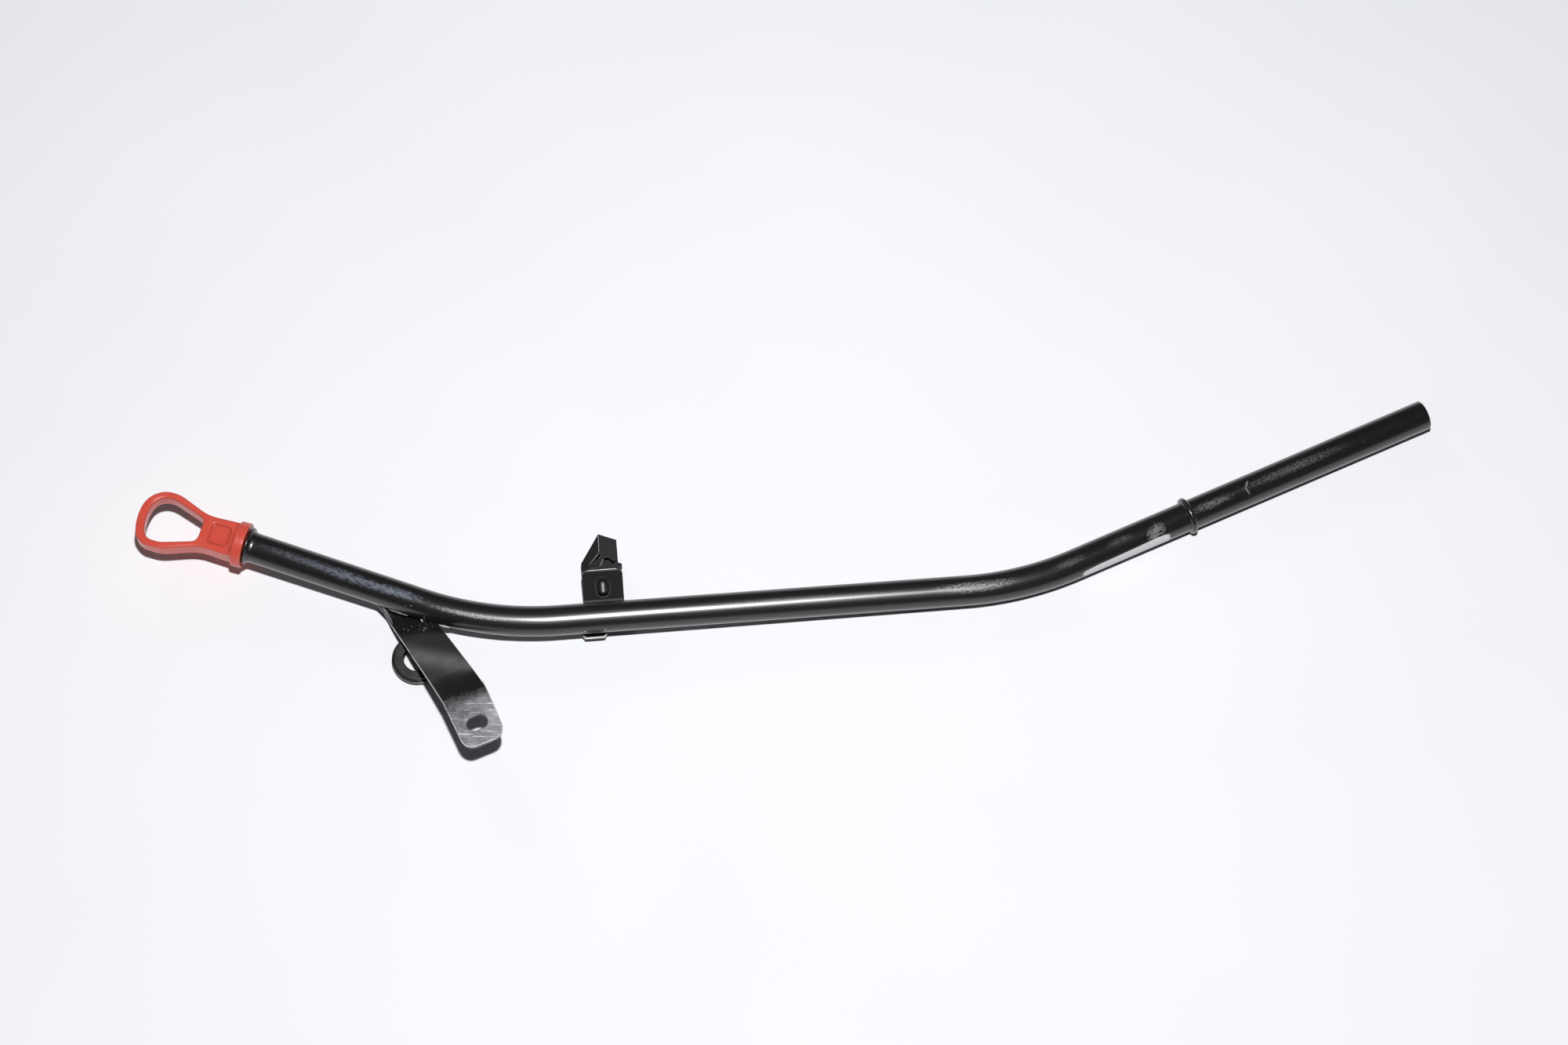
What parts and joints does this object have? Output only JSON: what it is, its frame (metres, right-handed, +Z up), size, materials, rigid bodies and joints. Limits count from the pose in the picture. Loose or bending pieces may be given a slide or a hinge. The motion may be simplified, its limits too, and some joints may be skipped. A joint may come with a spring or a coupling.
{
  "type": "engine oil dipstick",
  "caption": "Oil dipstick with a red finger-loop handle seated in a bent black guide tube, with a welded mounting bracket, an eye with a rubber grommet and a broken harness clip.",
  "frame": {"origin": "centre of the bounding box on the table, on which the part lies", "axes": "+X along the part from the handle to the lower end, +Z up from the table"},
  "size_m": [0.5566, 0.169, 0.0283],
  "materials": {
    "black_paint": "gloss, scuffed",
    "black_rubber": "matte",
    "black_plastic": "matte, torn",
    "red_plastic": "satin moulded",
    "spring_steel": "bright rolled"
  },
  "bodies": {
    "tube": {"guide_tube": "black_paint", "mounting_bracket": "black_paint", "eye_tab": "black_paint", "eye_grommet": "black_rubber", "clip_bracket": "black_paint", "harness_clip": "black_plastic"},
    "dipstick": {"handle": "red_plastic", "plug_seal": "black_rubber", "blade": "spring_steel"}
  },
  "joints": [
    {"name": "dipstick_draw", "type": "slide", "parent": "tube", "child": "dipstick", "axis": [-0.9457, 0.3224, 0.0422], "range_m": [0, 0.048], "deforming": ["blade"]}
  ]
}
